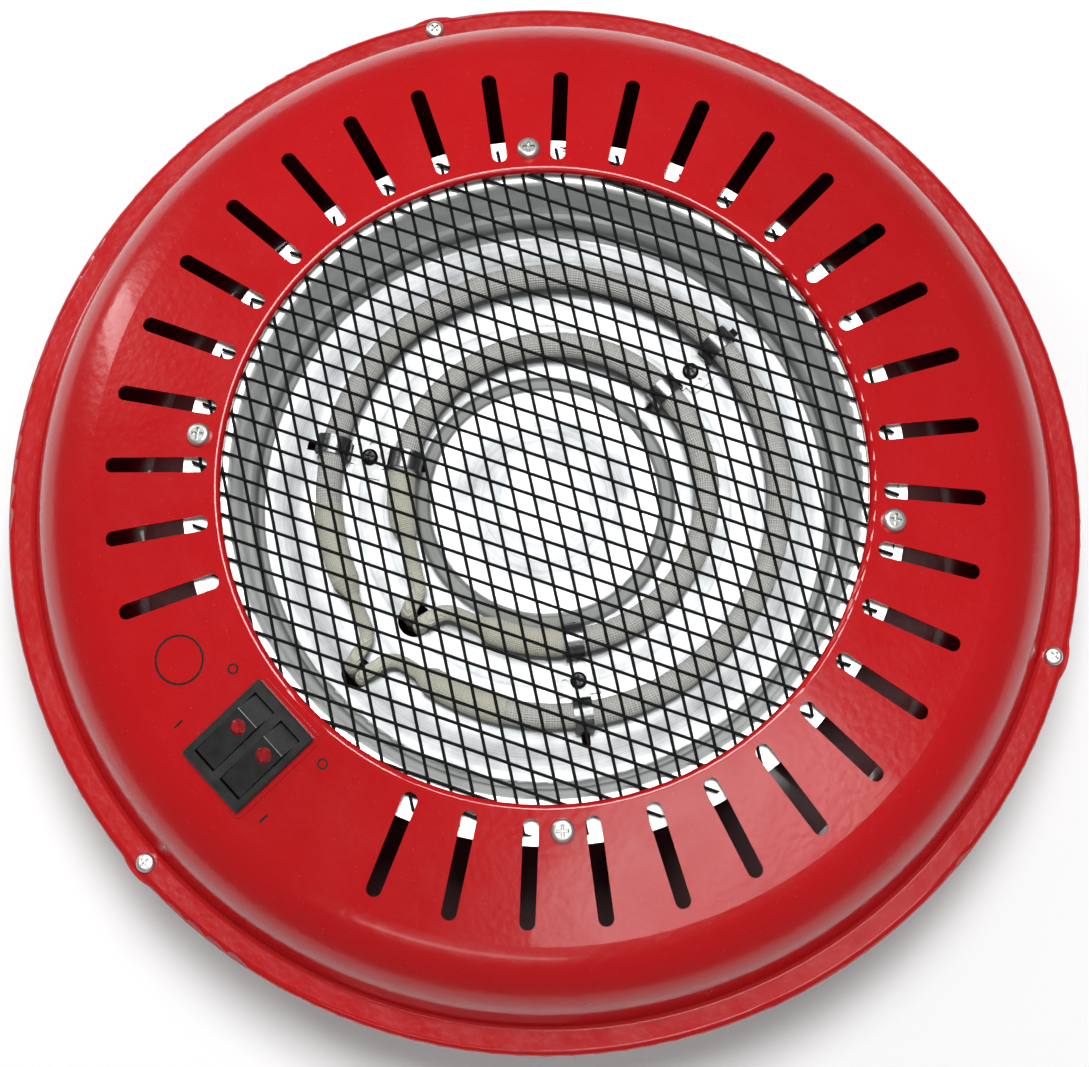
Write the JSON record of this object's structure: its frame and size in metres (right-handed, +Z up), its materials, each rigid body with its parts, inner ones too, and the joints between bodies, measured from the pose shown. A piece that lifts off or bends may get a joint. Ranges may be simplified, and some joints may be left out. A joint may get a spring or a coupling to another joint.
{
  "type": "round electric radiant heater",
  "caption": "Round domed electric brazier heater: slotted enamel cover, wire guard over a reflector bowl with ring elements, and a paired rocker switch.",
  "frame": {"origin": "on the axis of the round casing, at floor level under the feet", "axes": "+Z up out of the guard; the switch is towards -Y; +X is to the right of the switch seen with -Y towards the viewer"},
  "size_m": [0.35, 0.3508, 0.0913],
  "materials": {
    "red_enamel": "gloss",
    "pan_enamel": "satin",
    "reflector_zinc": "satin",
    "guard_black": "satin",
    "zinc_steel": "satin",
    "dark_steel": "satin",
    "element_braid": "matte",
    "sleeve_braid": "matte",
    "splice_white": "matte",
    "clip_steel": "satin",
    "switch_black": "satin",
    "plunger_white": "matte",
    "lens_ruby": "gloss",
    "neon_glass": "gloss",
    "brass": "satin",
    "rubber": "matte",
    "block_white": "matte",
    "cutout_black": "matte",
    "cutout_rivet": "satin",
    "lead_brown": "matte",
    "lead_blue": "matte",
    "lead_green": "matte"
  },
  "bodies": {
    "frame": {"base_pan": "pan_enamel", "block_screws": "zinc_steel", "cable_bush": "rubber", "clip_nuts": "zinc_steel", "clip_screws": "dark_steel", "cover_screws": "zinc_steel", "cutout_rivets": "cutout_rivet", "cutout_strap": "zinc_steel", "earth_nut": "zinc_steel", "earth_ring": "brass", "earth_screw": "zinc_steel", "element_clip_left": "clip_steel", "element_clip_rear": "clip_steel", "element_clip_right": "clip_steel", "element_inner": "element_braid", "element_outer": "element_braid", "foot_1": "rubber", "foot_2": "rubber", "foot_3": "rubber", "foot_nuts": "zinc_steel", "foot_screws": "zinc_steel", "guard_mesh": "guard_black", "lead_earth": "lead_green", "lead_inner_blue": "lead_blue", "lead_inner_live": "lead_brown", "lead_outer_blue": "lead_blue", "lead_outer_live": "lead_brown", "lead_supply_brown": "lead_brown", "lead_switch_brown": "lead_brown", "reflector": "reflector_zinc", "rim_nuts": "zinc_steel", "rim_screws": "zinc_steel", "sleeve_inner_left": "sleeve_braid", "sleeve_inner_right": "sleeve_braid", "sleeve_outer_left": "sleeve_braid", "sleeve_outer_right": "sleeve_braid", "splice_inner_left": "splice_white", "splice_inner_right": "splice_white", "splice_outer_left": "splice_white", "splice_outer_right": "splice_white", "switch_housing": "switch_black", "switch_terminals": "brass", "terminal_block": "block_white", "terminal_inserts": "brass", "terminal_screws": "zinc_steel", "thermal_cutout": "cutout_black", "top_cover": "red_enamel"},
    "rocker_left_body": {"lens_left": "lens_ruby", "neon_lamp_left": "neon_glass", "plunger_left": "plunger_white", "rocker_left": "switch_black"},
    "contact_left_body": {"contact_lever_left": "brass"},
    "rocker_right_body": {"lens_right": "lens_ruby", "neon_lamp_right": "neon_glass", "plunger_right": "plunger_white", "rocker_right": "switch_black"},
    "contact_right_body": {"contact_lever_right": "brass"}
  },
  "joints": [
    {"name": "rocker_left_hinge", "type": "hinge", "parent": "frame", "child": "rocker_left_body", "pos_m": [-0.0058, -0.12147, 0.08559], "axis": [1, 0, 0], "range_deg": [0, 22]},
    {"name": "contact_left_hinge", "type": "hinge", "parent": "frame", "child": "contact_left_body", "pos_m": [-0.0058, -0.11982, 0.07634], "axis": [1, 0, 0], "range_deg": [-16, 0]},
    {"name": "rocker_right_hinge", "type": "hinge", "parent": "frame", "child": "rocker_right_body", "pos_m": [0.0058, -0.12147, 0.08559], "axis": [1, 0, 0], "range_deg": [0, 22]},
    {"name": "contact_right_hinge", "type": "hinge", "parent": "frame", "child": "contact_right_body", "pos_m": [0.0058, -0.11982, 0.07634], "axis": [1, 0, 0], "range_deg": [-16, 0]}
  ],
  "couplings": [
    {"joint": "contact_left_hinge", "follows": "rocker_left_hinge", "ratio": -0.7272},
    {"joint": "contact_right_hinge", "follows": "rocker_right_hinge", "ratio": -0.7272}
  ]
}
